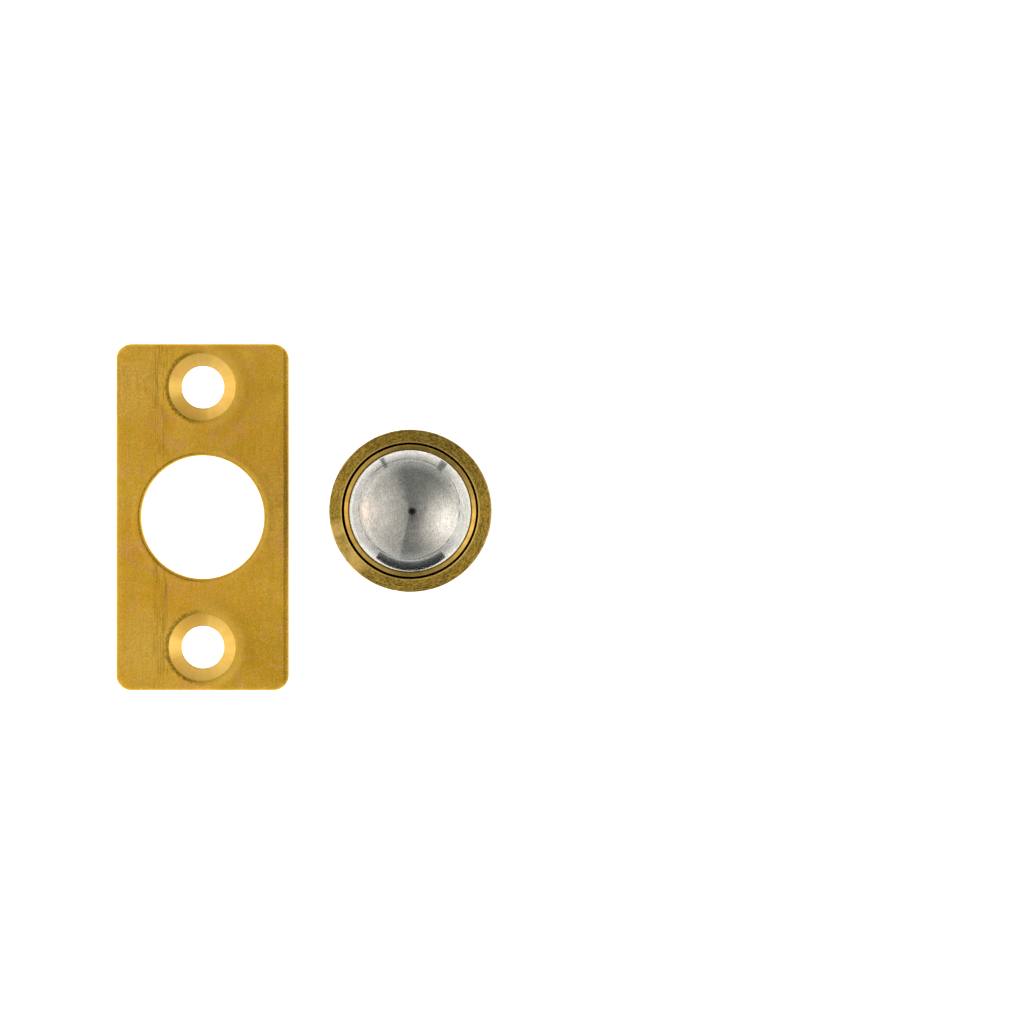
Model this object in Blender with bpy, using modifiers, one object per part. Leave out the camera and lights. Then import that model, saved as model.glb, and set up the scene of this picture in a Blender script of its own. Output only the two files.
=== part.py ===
"""Ball catch: a flanged barrel that is pressed into the edge of a door, with a sprung steel ball in its mouth,
and the strike plate that goes with it, lying beside the barrel.

The barrel stands ball upwards on its rear face. The origin is the centre of that rear face, +Z runs along the
barrel's axis towards the ball, and the strike plate lies on the same plane on the -X side, its countersunk
face up. Lengths are in metres.
"""

import math

import bmesh
import bpy
from mathutils import Matrix

MM = 0.001

# ---- driving dimensions -------------------------------------------------------------------------------------
SEGMENTS = 64  # facets round every turned piece, so that neighbouring surfaces line up

LIP_Z = 18.0 * MM  # the top of the capsule's lip above the rear face
BALL_R = 6.35 * MM  # 12.7 mm ball
BALL_BELOW_LIP = 2.93 * MM  # the ball's centre below the top of the lip, at rest
BALL_CLEARANCE = 0.035 * MM
BALL_TRAVEL = 3.3 * MM

CAPSULE_WALL = 0.25 * MM
NECK_WALL = 0.13 * MM  # the wall is thinnest where the flange closes in on the capsule's neck
LIP_BEVEL = (0.32 * MM, 0.24 * MM)  # how far the lip's face runs outwards, and how far it falls
CAPSULE_BASE_R = 1.4 * MM  # outer corner radius of the capsule's closed end

FLANGE_R = 7.5 * MM
FLANGE_Z = 17.20 * MM  # the flange's face at the mouth, lower than the lip
FLANGE_FALL = 14.0  # degrees by which the face falls away towards the rim
FLANGE_UNDER_Z = 16.00 * MM
FLANGE_ROUND = 0.18 * MM
BARREL_R = 6.95 * MM
BORE_GAP = 0.05 * MM  # between the capsule and the barrel's bore
MOUTH_GAP = 0.09 * MM  # the dark ring between the capsule's neck and the flange
MOUTH_CHAMFER = 0.05 * MM
STAKE_END_Z = 0.30 * MM  # how near to the rear face the barrel's rolled-in rear edge comes

SPRING_WIRE_R = 0.40 * MM
SPRING_MEAN_R = 4.40 * MM
SPRING_TURNS = 6.0
SPRING_END_PITCH = 0.87 * MM
SPRING_SEAT_GAP = 0.05 * MM
SPRING_POINTS_PER_TURN = 16

PLATE_X = -20.1 * MM
PLATE_Y = -0.6 * MM
PLATE_W = 16.4 * MM
PLATE_L = 33.0 * MM
PLATE_T = 1.2 * MM
PLATE_CORNER_R = 1.45 * MM
PLATE_ROLL = 0.36 * MM  # the soft upper edge that shearing leaves
STRIKE_HOLE_R = 5.875 * MM
SCREW_HOLE_R = 2.02 * MM
SCREW_HOLE_Y = 12.4 * MM
COUNTERSINK_R = 3.16 * MM

BALL_Z = LIP_Z - BALL_BELOW_LIP
CAPSULE_BORE_R = BALL_R + BALL_CLEARANCE
CAPSULE_R = CAPSULE_BORE_R + CAPSULE_WALL


# ---- helpers ------------------------------------------------------------------------------------------------
def clear_scene():
    for obj in list(bpy.data.objects):
        bpy.data.objects.remove(obj, do_unlink=True)


def new_collection(name):
    collection = bpy.data.collections.new(name)
    bpy.context.scene.collection.children.link(collection)
    return collection


def metal(name, colour, roughness):
    material = bpy.data.materials.new(name)
    material.use_nodes = True
    shader = material.node_tree.nodes["Principled BSDF"]
    shader.inputs["Base Color"].default_value = (*colour, 1.0)
    shader.inputs["Metallic"].default_value = 1.0
    shader.inputs["Roughness"].default_value = roughness
    return material


def arc(cx, cz, radius, start, end, steps):
    """Points on a circle in the XZ plane, both ends included. The angles are in degrees from +X towards +Z."""
    points = []
    for i in range(steps + 1):
        a = math.radians(start + (end - start) * i / steps)
        points.append((cx + radius * math.cos(a), cz + radius * math.sin(a)))
    return points


def freeze(obj):
    """Turn an object's modifiers into its mesh, and shade it smooth with its corners kept sharp."""
    bpy.context.view_layer.update()
    evaluated = obj.evaluated_get(bpy.context.evaluated_depsgraph_get())
    mesh = bpy.data.meshes.new_from_object(evaluated)
    mesh.name = obj.name
    old = obj.data
    obj.modifiers.clear()
    obj.data = mesh
    bpy.data.meshes.remove(old)
    mesh.shade_smooth()
    mesh.set_sharp_from_angle(angle=math.radians(32))
    return obj


def turned(name, profile, collection, closed):
    """A turned piece: the profile (radius, z) at +X, running down its outer side, swept round +Z."""
    mesh = bpy.data.meshes.new(name)
    edges = [(i, i + 1) for i in range(len(profile) - 1)]
    if closed:
        edges.append((len(profile) - 1, 0))
    mesh.from_pydata([(r, 0.0, z) for r, z in profile], edges, [])
    obj = bpy.data.objects.new(name, mesh)
    collection.objects.link(obj)
    screw = obj.modifiers.new("turn", "SCREW")
    screw.axis = "Z"
    screw.angle = math.tau
    screw.steps = SEGMENTS
    screw.render_steps = SEGMENTS
    screw.use_merge_vertices = True
    screw.merge_threshold = 1e-6
    screw.use_smooth_shade = True
    return obj


def sphere_r(radius, z):
    """The radius of a sphere about the ball's centre at the height z."""
    return math.sqrt(radius * radius - (z - BALL_Z) ** 2)


def capsule_outer_r(z):
    """The capsule's outer radius above the ball's centre. The wall thins out towards the neck."""
    start = FLANGE_Z - 1.35 * MM
    t = min(max((z - start) / (FLANGE_Z - start), 0.0), 1.0)
    wall = CAPSULE_WALL + (NECK_WALL - CAPSULE_WALL) * t * t * (3 - 2 * t)
    return sphere_r(CAPSULE_BORE_R + wall, z)


# ---- the pieces ---------------------------------------------------------------------------------------------
def make_capsule(parts, material):
    """The drawn cup that holds the ball and its spring. Its mouth is rolled in over the ball."""
    inner_r = CAPSULE_BASE_R - CAPSULE_WALL
    profile = [(0.0, CAPSULE_WALL)]
    profile += arc(
        CAPSULE_BORE_R - inner_r, CAPSULE_WALL + inner_r, inner_r, -90, 0, 5
    )
    steps = 6
    edge_z = LIP_Z - 0.04 * MM
    for i in range(steps + 1):
        z = BALL_Z + (edge_z - BALL_Z) * i / steps
        profile.append((sphere_r(CAPSULE_BORE_R, z), z))
    crest_r = profile[-1][0] + 0.04 * MM
    out, fall = LIP_BEVEL
    profile.append((crest_r, LIP_Z))
    profile.append((crest_r + out, LIP_Z - fall))
    profile.append((crest_r + out + 0.02 * MM, LIP_Z - fall - 0.05 * MM))
    for i in range(steps + 1):
        z = FLANGE_Z + (BALL_Z - FLANGE_Z) * i / steps
        profile.append((capsule_outer_r(z), z))
    profile += arc(CAPSULE_R - CAPSULE_BASE_R, CAPSULE_BASE_R, CAPSULE_BASE_R, 0, -90, 6)
    profile.append((0.0, 0.0))
    capsule = turned("ball_capsule", profile, parts, closed=False)
    freeze(capsule)
    capsule.data.materials.append(material)
    return capsule


def make_barrel(parts, material):
    """The flanged sleeve round the capsule. The capsule goes in from the rear, its shoulder stops behind the
    flange's mouth, and the sleeve's rear edge is rolled in round the capsule's corner."""
    mouth_z = FLANGE_Z - MOUTH_CHAMFER
    mouth_r = capsule_outer_r(mouth_z) + MOUTH_GAP
    fall = math.tan(math.radians(FLANGE_FALL))
    round_x = FLANGE_R - FLANGE_ROUND
    rim_z = FLANGE_Z - (round_x - mouth_r) * fall
    profile = arc(round_x, rim_z - FLANGE_ROUND, FLANGE_ROUND, 90 - FLANGE_FALL, 0, 3)
    profile.append((FLANGE_R, FLANGE_UNDER_Z + 0.05 * MM))
    profile.append((FLANGE_R - 0.05 * MM, FLANGE_UNDER_Z))
    profile.append((BARREL_R, FLANGE_UNDER_Z))
    # the rear edge, rolled in round the capsule's corner with the same gap as the bore
    corner_x, corner_z = CAPSULE_R - CAPSULE_BASE_R, CAPSULE_BASE_R
    outer_r = BARREL_R - corner_x
    bore_r = CAPSULE_R + BORE_GAP
    inner_r = bore_r - corner_x
    end_angle = math.degrees(math.asin((corner_z - STAKE_END_Z) / outer_r))
    profile += arc(corner_x, corner_z, outer_r, 0, -end_angle, 5)
    profile += arc(corner_x, corner_z, inner_r, -end_angle, 0, 5)
    # the bore, closing in over the capsule's shoulder to the mouth
    steps = 6
    for i in range(steps + 1):
        t = i / steps
        z = BALL_Z + (mouth_z - BALL_Z) * t
        gap = BORE_GAP + (MOUTH_GAP - BORE_GAP) * t * t
        profile.append((capsule_outer_r(z) + gap, z))
    profile.append((mouth_r + MOUTH_CHAMFER, FLANGE_Z))
    barrel = turned("outer_barrel", profile, parts, closed=True)
    freeze(barrel)
    barrel.data.materials.append(material)
    return barrel


def make_ball(parts, material):
    mesh = bpy.data.meshes.new("steel_ball")
    bm = bmesh.new()
    bmesh.ops.create_uvsphere(bm, u_segments=48, v_segments=24, radius=BALL_R)
    bm.to_mesh(mesh)
    bm.free()
    mesh.shade_smooth()
    ball = bpy.data.objects.new("steel_ball", mesh)
    ball.location = (0.0, 0.0, BALL_Z)
    parts.objects.link(ball)
    mesh.materials.append(material)
    return ball


def make_spring(parts, material):
    """A compression spring with closed ends, between the capsule's floor and the underside of the ball."""
    low = CAPSULE_WALL + SPRING_WIRE_R + SPRING_SEAT_GAP
    reach = BALL_R + SPRING_WIRE_R + SPRING_SEAT_GAP
    high = BALL_Z - math.sqrt(reach * reach - SPRING_MEAN_R**2)
    open_pitch = (high - low - 2 * SPRING_END_PITCH) / (SPRING_TURNS - 2)

    def height(turn):
        if turn < 1:
            return SPRING_END_PITCH * turn
        if turn > SPRING_TURNS - 1:
            return high - low - SPRING_END_PITCH * (SPRING_TURNS - turn)
        return SPRING_END_PITCH + open_pitch * (turn - 1)

    curve = bpy.data.curves.new("spring", "CURVE")
    curve.dimensions = "3D"
    curve.bevel_depth = SPRING_WIRE_R
    curve.bevel_resolution = 2
    curve.use_fill_caps = True
    count = int(SPRING_TURNS * SPRING_POINTS_PER_TURN) + 1
    spline = curve.splines.new("POLY")
    spline.points.add(count - 1)
    for i, point in enumerate(spline.points):
        turn = i / SPRING_POINTS_PER_TURN
        a = math.tau * turn
        point.co = (
            SPRING_MEAN_R * math.cos(a),
            SPRING_MEAN_R * math.sin(a),
            height(turn),
            1.0,
        )
    curve.materials.append(material)
    spring = bpy.data.objects.new("spring", curve)
    spring.location = (0.0, 0.0, low)
    parts.objects.link(spring)
    return spring


def make_strike(parts, cutters, material):
    """The stamped plate: a blank with rounded corners and a soft upper edge, a hole for the ball, and two
    countersunk screw holes."""
    mesh = bpy.data.meshes.new("strike_plate")
    bm = bmesh.new()
    bmesh.ops.create_cube(bm, size=1.0)
    bmesh.ops.transform(
        bm,
        matrix=Matrix.Translation((0, 0, PLATE_T / 2))
        @ Matrix.Diagonal((PLATE_W, PLATE_L, PLATE_T, 1.0)),
        verts=bm.verts,
    )
    upright = [
        e for e in bm.edges if abs(e.verts[0].co.z - e.verts[1].co.z) > PLATE_T / 2
    ]
    bmesh.ops.bevel(
        bm,
        geom=upright,
        offset=PLATE_CORNER_R,
        segments=8,
        profile=0.5,
        affect="EDGES",
    )
    top = [
        e
        for e in bm.edges
        if all(v.co.z > PLATE_T * 0.99 for v in e.verts)
    ]
    bmesh.ops.bevel(
        bm, geom=top, offset=PLATE_ROLL, segments=3, profile=0.5, affect="EDGES"
    )
    bm.to_mesh(mesh)
    bm.free()
    plate = bpy.data.objects.new("strike_plate", mesh)
    plate.location = (PLATE_X, PLATE_Y, 0.0)
    parts.objects.link(plate)

    above, below, roll = PLATE_T + 1.0 * MM, -1.0 * MM, 0.15 * MM
    hole = [(0.0, above), (STRIKE_HOLE_R + roll, above)]
    hole += arc(STRIKE_HOLE_R + roll, PLATE_T - roll, roll, 90, 180, 3)
    hole += [(STRIKE_HOLE_R, below), (0.0, below)]
    depth = COUNTERSINK_R - SCREW_HOLE_R  # a right-angled countersink
    screw = [
        (0.0, above),
        (COUNTERSINK_R, above),
        (COUNTERSINK_R, PLATE_T),
        (SCREW_HOLE_R, PLATE_T - depth),
        (SCREW_HOLE_R, below),
        (0.0, below),
    ]
    for name, profile, y in (
        ("cut_strike_hole", hole, 0.0),
        ("cut_screw_hole_far", screw, SCREW_HOLE_Y),
        ("cut_screw_hole_near", screw, -SCREW_HOLE_Y),
    ):
        cutter = turned(name, profile, cutters, closed=False)
        cutter.location = (PLATE_X, PLATE_Y + y, 0.0)
        cutter.hide_render = True
        cutter.display_type = "WIRE"
        cut = plate.modifiers.new(name, "BOOLEAN")
        cut.operation = "DIFFERENCE"
        cut.solver = "EXACT"
        cut.object = cutter
    freeze(plate)
    plate.data.materials.clear()
    plate.data.materials.append(material)
    return plate


def main():
    clear_scene()
    parts = new_collection("ball_catch")
    cutters = new_collection("cutters")

    aged_brass = metal("aged_brass", (0.31, 0.20, 0.045), 0.42)
    drawn_brass = metal("drawn_brass", (0.62, 0.42, 0.13), 0.24)
    rolled_brass = metal("rolled_brass", (0.60, 0.38, 0.045), 0.34)
    polished_steel = metal("polished_steel", (0.66, 0.65, 0.63), 0.12)
    spring_steel = metal("spring_steel", (0.42, 0.42, 0.43), 0.30)

    make_barrel(parts, aged_brass)
    make_capsule(parts, drawn_brass)
    make_spring(parts, spring_steel)
    make_ball(parts, polished_steel)
    make_strike(parts, cutters, rolled_brass)


main()
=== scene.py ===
import math

import bmesh
import bpy
from mathutils import Matrix, Vector, noise
from mathutils.geometry import delaunay_2d_cdt


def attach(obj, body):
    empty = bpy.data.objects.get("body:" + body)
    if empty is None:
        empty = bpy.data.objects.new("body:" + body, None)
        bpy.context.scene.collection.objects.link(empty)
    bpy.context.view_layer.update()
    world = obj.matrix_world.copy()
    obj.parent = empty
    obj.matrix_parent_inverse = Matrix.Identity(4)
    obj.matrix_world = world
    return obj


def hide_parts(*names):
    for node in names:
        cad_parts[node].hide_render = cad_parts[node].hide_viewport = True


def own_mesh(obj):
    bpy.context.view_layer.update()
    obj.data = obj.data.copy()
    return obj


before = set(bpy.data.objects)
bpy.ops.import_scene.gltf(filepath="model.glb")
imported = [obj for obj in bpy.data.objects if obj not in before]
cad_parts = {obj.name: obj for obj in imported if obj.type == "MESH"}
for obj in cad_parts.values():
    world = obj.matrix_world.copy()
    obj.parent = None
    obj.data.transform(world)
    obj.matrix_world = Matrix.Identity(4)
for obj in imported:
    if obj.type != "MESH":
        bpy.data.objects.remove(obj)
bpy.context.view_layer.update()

MM = 0.001

# ---- sizes that repeat the construction, in millimetres -------------------------------------------------------
LIP_Z = 18.0
BALL_R = 6.35
BALL_Z = LIP_Z - 2.93
CAPSULE_IN = BALL_R + 0.035
WALL, NECK = 0.25, 0.13
CAPSULE_R = CAPSULE_IN + WALL
CAPSULE_CORNER = 1.4
LIP_OUT, LIP_DROP = 0.32, 0.24
FLANGE_R = 7.5
FACE_Z = 17.20
FALL = math.tan(math.radians(14.0))
UNDER_Z = 16.0
ROUND = 0.18
BARREL_R = 6.95
BORE_GAP = 0.05
MOUTH_GAP = 0.09
MOUTH_EDGE = 0.05
PLATE = (-20.1, -0.6)
PLATE_W, PLATE_L, PLATE_T = 16.4, 33.0, 1.2
CORNER_R = 1.45
STRIKE_R = 5.875
SCREW_R = 2.02
SCREW_Y = 12.4
SINK_R = 3.16
TURN = 288  # facets round the turned pieces
LIGHT = 1.25  # how strong the studio's light is


# ---- mesh helpers ---------------------------------------------------------------------------------------------
def arc(cx, cz, r, start, end, steps):
    return [
        (
            cx + r * math.cos(math.radians(start + (end - start) * i / steps)),
            cz + r * math.sin(math.radians(start + (end - start) * i / steps)),
        )
        for i in range(steps + 1)
    ]


def finish_mesh(name, bm, body, node, material, sharp=28):
    bmesh.ops.remove_doubles(bm, verts=bm.verts, dist=1e-8)
    bmesh.ops.recalc_face_normals(bm, faces=bm.faces)
    mesh = bpy.data.meshes.new(name)
    bm.to_mesh(mesh)
    bm.free()
    mesh.shade_smooth()
    mesh.set_sharp_from_angle(angle=math.radians(sharp))
    obj = bpy.data.objects.new(name, mesh)
    bpy.context.scene.collection.objects.link(obj)
    mesh.materials.append(material)
    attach(obj, body)
    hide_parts(node)
    return obj


def lathe(profile, closed, steps=TURN, ripple=None):
    """A bmesh turned round Z from (radius, height) points in millimetres. ripple(r, z, angle) moves a point."""
    bm = bmesh.new()
    rings = []
    for r, z in profile:
        if r < 1e-6:
            rings.append([bm.verts.new((0, 0, z * MM))])
            continue
        ring = []
        for i in range(steps):
            a = math.tau * i / steps
            rr, zz = ripple(r, z, a) if ripple else (r, z)
            ring.append(
                bm.verts.new((rr * math.cos(a) * MM, rr * math.sin(a) * MM, zz * MM))
            )
        rings.append(ring)
    pairs = list(zip(rings, rings[1:]))
    if closed:
        pairs.append((rings[-1], rings[0]))
    for a, b in pairs:
        for i in range(steps):
            j = (i + 1) % steps
            if len(a) == 1 and len(b) == 1:
                continue
            if len(a) == 1:
                bm.faces.new((a[0], b[j], b[i]))
            elif len(b) == 1:
                bm.faces.new((a[i], a[j], b[0]))
            else:
                bm.faces.new((a[i], a[j], b[j], b[i]))
    return bm


# ---- shader helpers -------------------------------------------------------------------------------------------
class Shade:
    """Small helpers round one node tree."""

    def __init__(self, tree):
        self.tree = tree
        tree.nodes.clear()

    def node(self, kind, **settings):
        n = self.tree.nodes.new(kind)
        for k, v in settings.items():
            setattr(n, k, v)
        return n

    def put(self, socket, value):
        if isinstance(value, bpy.types.NodeSocket):
            self.tree.links.new(value, socket)
        elif isinstance(value, (tuple, list)) and len(value) == 3 and socket.type == "RGBA":
            socket.default_value = (*value, 1.0)
        else:
            socket.default_value = value

    def math(self, op, a, b=0.0, c=None, clamp=False):
        n = self.node("ShaderNodeMath", operation=op, use_clamp=clamp)
        self.put(n.inputs[0], a)
        self.put(n.inputs[1], b)
        if c is not None:
            self.put(n.inputs[2], c)
        return n.outputs[0]

    def vec(self, op, a, b=(0, 0, 0), scale=None):
        n = self.node("ShaderNodeVectorMath", operation=op)
        self.put(n.inputs[0], a)
        if op != "SCALE":
            self.put(n.inputs[1], b)
        if scale is not None:
            self.put(n.inputs["Scale"], scale)
        return n.outputs["Value" if op in ("DOT_PRODUCT", "LENGTH", "DISTANCE") else "Vector"]

    def xyz(self, v):
        n = self.node("ShaderNodeSeparateXYZ")
        self.put(n.inputs[0], v)
        return n.outputs

    def join(self, x, y, z):
        n = self.node("ShaderNodeCombineXYZ")
        for s, v in zip(n.inputs, (x, y, z)):
            self.put(s, v)
        return n.outputs[0]

    def span(self, v, a, b, c=0.0, d=1.0, smooth=True):
        n = self.node(
            "ShaderNodeMapRange",
            interpolation_type="SMOOTHSTEP" if smooth else "LINEAR",
            clamp=True,
        )
        for s, x in zip(n.inputs, (v, a, b, c, d)):
            self.put(s, x)
        return n.outputs[0]

    def noise(self, v, scale=1.0, detail=2.0, rough=0.5, warp=0.0):
        n = self.node("ShaderNodeTexNoise", noise_dimensions="3D")
        self.put(n.inputs["Vector"], v)
        n.inputs["Scale"].default_value = scale
        n.inputs["Detail"].default_value = detail
        n.inputs["Roughness"].default_value = rough
        n.inputs["Distortion"].default_value = warp
        return n.outputs["Fac"]

    def cells(self, v, scale=1.0, feature="F1"):
        n = self.node("ShaderNodeTexVoronoi", feature=feature)
        self.put(n.inputs["Vector"], v)
        n.inputs["Scale"].default_value = scale
        return n.outputs["Distance"]

    def mix(self, fac, a, b, blend="MIX"):
        n = self.node("ShaderNodeMix", data_type="RGBA", blend_type=blend)
        self.put(n.inputs[0], fac)
        self.put(n.inputs[6], a)
        self.put(n.inputs[7], b)
        return n.outputs[2]

    def bump(self, height, strength=1.0, distance=MM * 0.01, normal=None):
        n = self.node("ShaderNodeBump")
        n.inputs["Strength"].default_value = strength
        n.inputs["Distance"].default_value = distance
        self.put(n.inputs["Height"], height)
        if normal is not None:
            self.put(n.inputs["Normal"], normal)
        return n.outputs[0]

    def place(self):
        """Where the point is on its own piece, in millimetres."""
        n = self.node("ShaderNodeTexCoord")
        return self.vec("SCALE", n.outputs["Object"], scale=1000.0)

    def metal(self, colour, roughness, normal=None, anisotropic=0.0, tangent=None):
        p = self.node("ShaderNodeBsdfPrincipled")
        p.inputs["Metallic"].default_value = 1.0
        self.put(p.inputs["Base Color"], colour)
        self.put(p.inputs["Roughness"], roughness)
        if normal is not None:
            self.put(p.inputs["Normal"], normal)
        if anisotropic:
            p.inputs["Anisotropic"].default_value = anisotropic
        if tangent is not None:
            self.put(p.inputs["Tangent"], tangent)
        out = self.node("ShaderNodeOutputMaterial")
        self.put(out.inputs["Surface"], p.outputs[0])
        return p


def new_material(name):
    m = bpy.data.materials.new(name)
    m.use_nodes = True
    return m, Shade(m.node_tree)


def polar(s, p):
    """Radius, and a seamless vector that changes slowly round Z and quickly across it."""
    x, y, z = s.xyz(p)
    r = s.math("SQRT", s.math("ADD", s.math("MULTIPLY", x, x), s.math("MULTIPLY", y, y)))
    safe = s.math("MAXIMUM", r, 0.01)
    return r, s.math("DIVIDE", x, safe), s.math("DIVIDE", y, safe), z


# ---- materials ------------------------------------------------------------------------------------------------
def aged_brass():
    """Turned brass: the flange gone olive brown, with tool marks, pits and flecks, and the barrel behind it bright."""
    m, s = new_material("aged_brass")
    p = s.place()
    r, cx, cy, z = polar(s, p)
    across = s.math("ADD", r, z)

    def strokes(around, radial, detail=2.0, rough=0.6, shift=0.0):
        v = s.join(s.math("MULTIPLY", cx, around), s.math("MULTIPLY", cy, around), s.math("MULTIPLY_ADD", across, radial, shift))
        return s.noise(v, scale=1.0, detail=detail, rough=rough)

    rings = strokes(2.0, 9.0, 3.0, 0.75)
    short = strokes(9.0, 12.0, 2.0, 0.75)
    fine = strokes(26.0, 14.0)
    blotch = s.noise(p, scale=0.42, detail=5.0, rough=0.62, warp=0.6)
    grain = s.noise(p, scale=7.0, detail=3.0, rough=0.75)
    tone = s.math("ADD", s.math("MULTIPLY", s.math("SUBTRACT", rings, 0.5), 0.55), 0.5)
    tone = s.math("ADD", tone, s.math("MULTIPLY", s.math("SUBTRACT", blotch, 0.5), 0.42))
    tone = s.math("ADD", tone, s.math("MULTIPLY", s.math("SUBTRACT", short, 0.5), 0.85))
    tone = s.math("ADD", tone, s.math("MULTIPLY", s.math("SUBTRACT", fine, 0.5), 1.20))
    tone = s.math("ADD", tone, s.math("MULTIPLY", s.math("SUBTRACT", grain, 0.5), 0.50))
    colour = s.mix(s.span(tone, 0.20, 0.80, smooth=False), (0.122, 0.070, 0.007), (0.74, 0.475, 0.066))
    green = s.span(s.noise(p, scale=0.8, detail=3.0), 0.48, 0.72)
    colour = s.mix(s.math("MULTIPLY", green, 0.30), colour, (0.39, 0.300, 0.027))
    ash = s.span(strokes(22.0, 11.0, 3.0, 0.75, 40.0), 0.48, 0.62, smooth=False)
    colour = s.mix(s.math("MULTIPLY", ash, 0.62), colour, (0.57, 0.412, 0.122))
    soot = s.span(strokes(22.0, 11.0, 3.0, 0.75, 80.0), 0.50, 0.64, smooth=False)
    colour = s.mix(s.math("MULTIPLY", soot, 0.75), colour, (0.085, 0.045, 0.006))
    pits = s.span(s.noise(s.vec("ADD", p, (3, 8, 1)), scale=5.2, detail=2.0, rough=0.6), 0.36, 0.28)
    colour = s.mix(s.math("MULTIPLY", pits, 0.42), colour, (0.10, 0.06, 0.015))
    flecks = s.span(s.noise(s.vec("ADD", p, (17, 2, 9)), scale=6.5, detail=2.0, rough=0.6), 0.66, 0.74)
    colour = s.mix(s.math("MULTIPLY", flecks, 0.55), colour, (0.88, 0.68, 0.29))
    # painted shade: the flange's rounded outer rim is painted darker, as the dark reflection it shows there, broken up
    # by the grain
    edge = s.math("MULTIPLY", s.span(r, FLANGE_R - 0.16, FLANGE_R - 0.07), s.span(grain, 0.30, 0.62, 1.0, 0.45))
    colour = s.mix(s.math("MULTIPLY", edge, 0.72), colour, (0.20, 0.120, 0.030))
    # painted highlight: the flange's top is painted brighter towards azimuth 210, the side that catches the light
    painted_highlight_patch = s.math("ADD", s.math("MULTIPLY", cx, math.cos(math.radians(210))), s.math("MULTIPLY", cy, math.sin(math.radians(210))))
    painted_highlight_patch = s.math("MULTIPLY", s.span(painted_highlight_patch, 0.90, 0.975), s.span(blotch, 0.35, 0.60, 0.35, 1.0))
    colour = s.mix(s.math("MULTIPLY", s.math("MULTIPLY", painted_highlight_patch, 0.72), s.span(z, UNDER_Z + 0.5, UNDER_Z + 0.9)), colour, (0.97, 0.665, 0.195))
    # painted highlight: a bright ring on the flange round the mouth, where its inner edge catches the light, broken up
    # by the grain
    painted_light_mark = s.math("MULTIPLY", s.span(r, 6.50, 6.34), s.span(grain, 0.30, 0.55, 0.45, 1.0))
    colour = s.mix(s.math("MULTIPLY", painted_light_mark, 0.75), colour, (0.86, 0.595, 0.175))
    # below the flange the barrel was always covered, and is still bright and smooth
    bright = s.span(z, UNDER_Z - 0.02, UNDER_Z - 0.35)
    cut = s.math("ADD", s.math("MULTIPLY", strokes(0.7, 9.0, 4.0, 0.75), 0.7), s.math("MULTIPLY", s.noise(p, scale=0.35, detail=4.0, rough=0.6), 0.3))
    drawn = s.mix(s.span(cut, 0.34, 0.66, smooth=False), (0.395, 0.262, 0.066), (0.57, 0.386, 0.115))
    colour = s.mix(bright, colour, drawn)
    # painted shade: the bore behind the mouth is painted near black, as the shade in the gap
    inside = s.math("MULTIPLY", s.math("LESS_THAN", z, 17.09), s.math("LESS_THAN", r, 6.62))
    inside = s.math("MULTIPLY", inside, s.math("GREATER_THAN", z, 1.5))
    colour = s.mix(inside, colour, (0.010, 0.008, 0.005))
    rough = s.span(s.math("ADD", s.math("MULTIPLY", short, 0.5), s.math("MULTIPLY", grain, 0.5)), 0.30, 0.70, 0.30, 0.48)
    rough = s.math("ADD", rough, s.math("MULTIPLY", bright, -0.12))
    height = s.math("ADD", s.math("MULTIPLY", rings, 0.6), s.math("MULTIPLY", short, 0.7))
    height = s.math("ADD", height, s.math("MULTIPLY", grain, 0.8))
    height = s.math("SUBTRACT", height, s.math("MULTIPLY", pits, 1.2))
    height = s.math("MULTIPLY", height, s.math("SUBTRACT", 1.0, bright))
    height = s.math("ADD", height, s.math("MULTIPLY", s.math("MULTIPLY", cut, bright), 0.5))
    normal = s.bump(height, 0.75, 0.010 * MM)
    around = s.node("ShaderNodeTangent", direction_type="RADIAL", axis="Z")
    s.metal(colour, rough, normal, 0.45, around.outputs[0])
    return m


def drawn_brass():
    """The capsule's smooth drawn brass, bright on the rolled lip."""
    m, s = new_material("drawn_brass")
    p = s.place()
    r, cx, cy, z = polar(s, p)
    streak = s.noise(s.join(s.math("MULTIPLY", cx, 9.0), s.math("MULTIPLY", cy, 9.0), s.math("MULTIPLY", s.math("ADD", r, z), 3.0)), detail=3.0)
    grain = s.noise(p, scale=7.0, detail=3.0, rough=0.65)
    tone = s.span(s.math("ADD", s.math("MULTIPLY", streak, 0.55), s.math("MULTIPLY", grain, 0.45)), 0.32, 0.68)
    colour = s.mix(tone, (0.43, 0.270, 0.055), (0.615, 0.395, 0.090))
    stain = s.span(s.noise(s.vec("ADD", p, (4, 4, 4)), scale=1.3, detail=3.0), 0.52, 0.68)
    colour = s.mix(s.math("MULTIPLY", stain, 0.35), colour, (0.36, 0.235, 0.045))
    inside = s.math("MULTIPLY", s.math("LESS_THAN", z, 17.70), s.math("GREATER_THAN", z, 1.5))
    # painted shade: the inner face beside the ball and the neck under the lip are painted near black, as the shade in
    # the gap round the ball; the rest of the hidden part is dull brass
    up = s.math("SUBTRACT", z, s.math("MINIMUM", z, BALL_Z))
    away = s.math("SQRT", s.math("ADD", s.math("MULTIPLY", r, r), s.math("MULTIPLY", up, up)))
    bore = s.math("LESS_THAN", away, CAPSULE_IN + 0.06)
    painted_gap_shade = s.math("MAXIMUM", bore, s.span(z, 17.36, 17.44))
    dull = s.mix(s.span(grain, 0.35, 0.65), (0.15, 0.096, 0.024), (0.26, 0.170, 0.045))
    colour = s.mix(inside, colour, s.mix(painted_gap_shade, (0.014, 0.010, 0.006), dull))
    base = s.span(z, 1.6, 1.1)
    colour = s.mix(s.math("MULTIPLY", base, 0.75), colour, (0.50, 0.325, 0.078))
    rough = s.span(grain, 0.3, 0.7, 0.14, 0.24)
    normal = s.bump(s.math("ADD", streak, s.math("MULTIPLY", grain, 0.8)), 0.5, 0.005 * MM)
    s.metal(colour, rough, normal)
    return m


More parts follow.
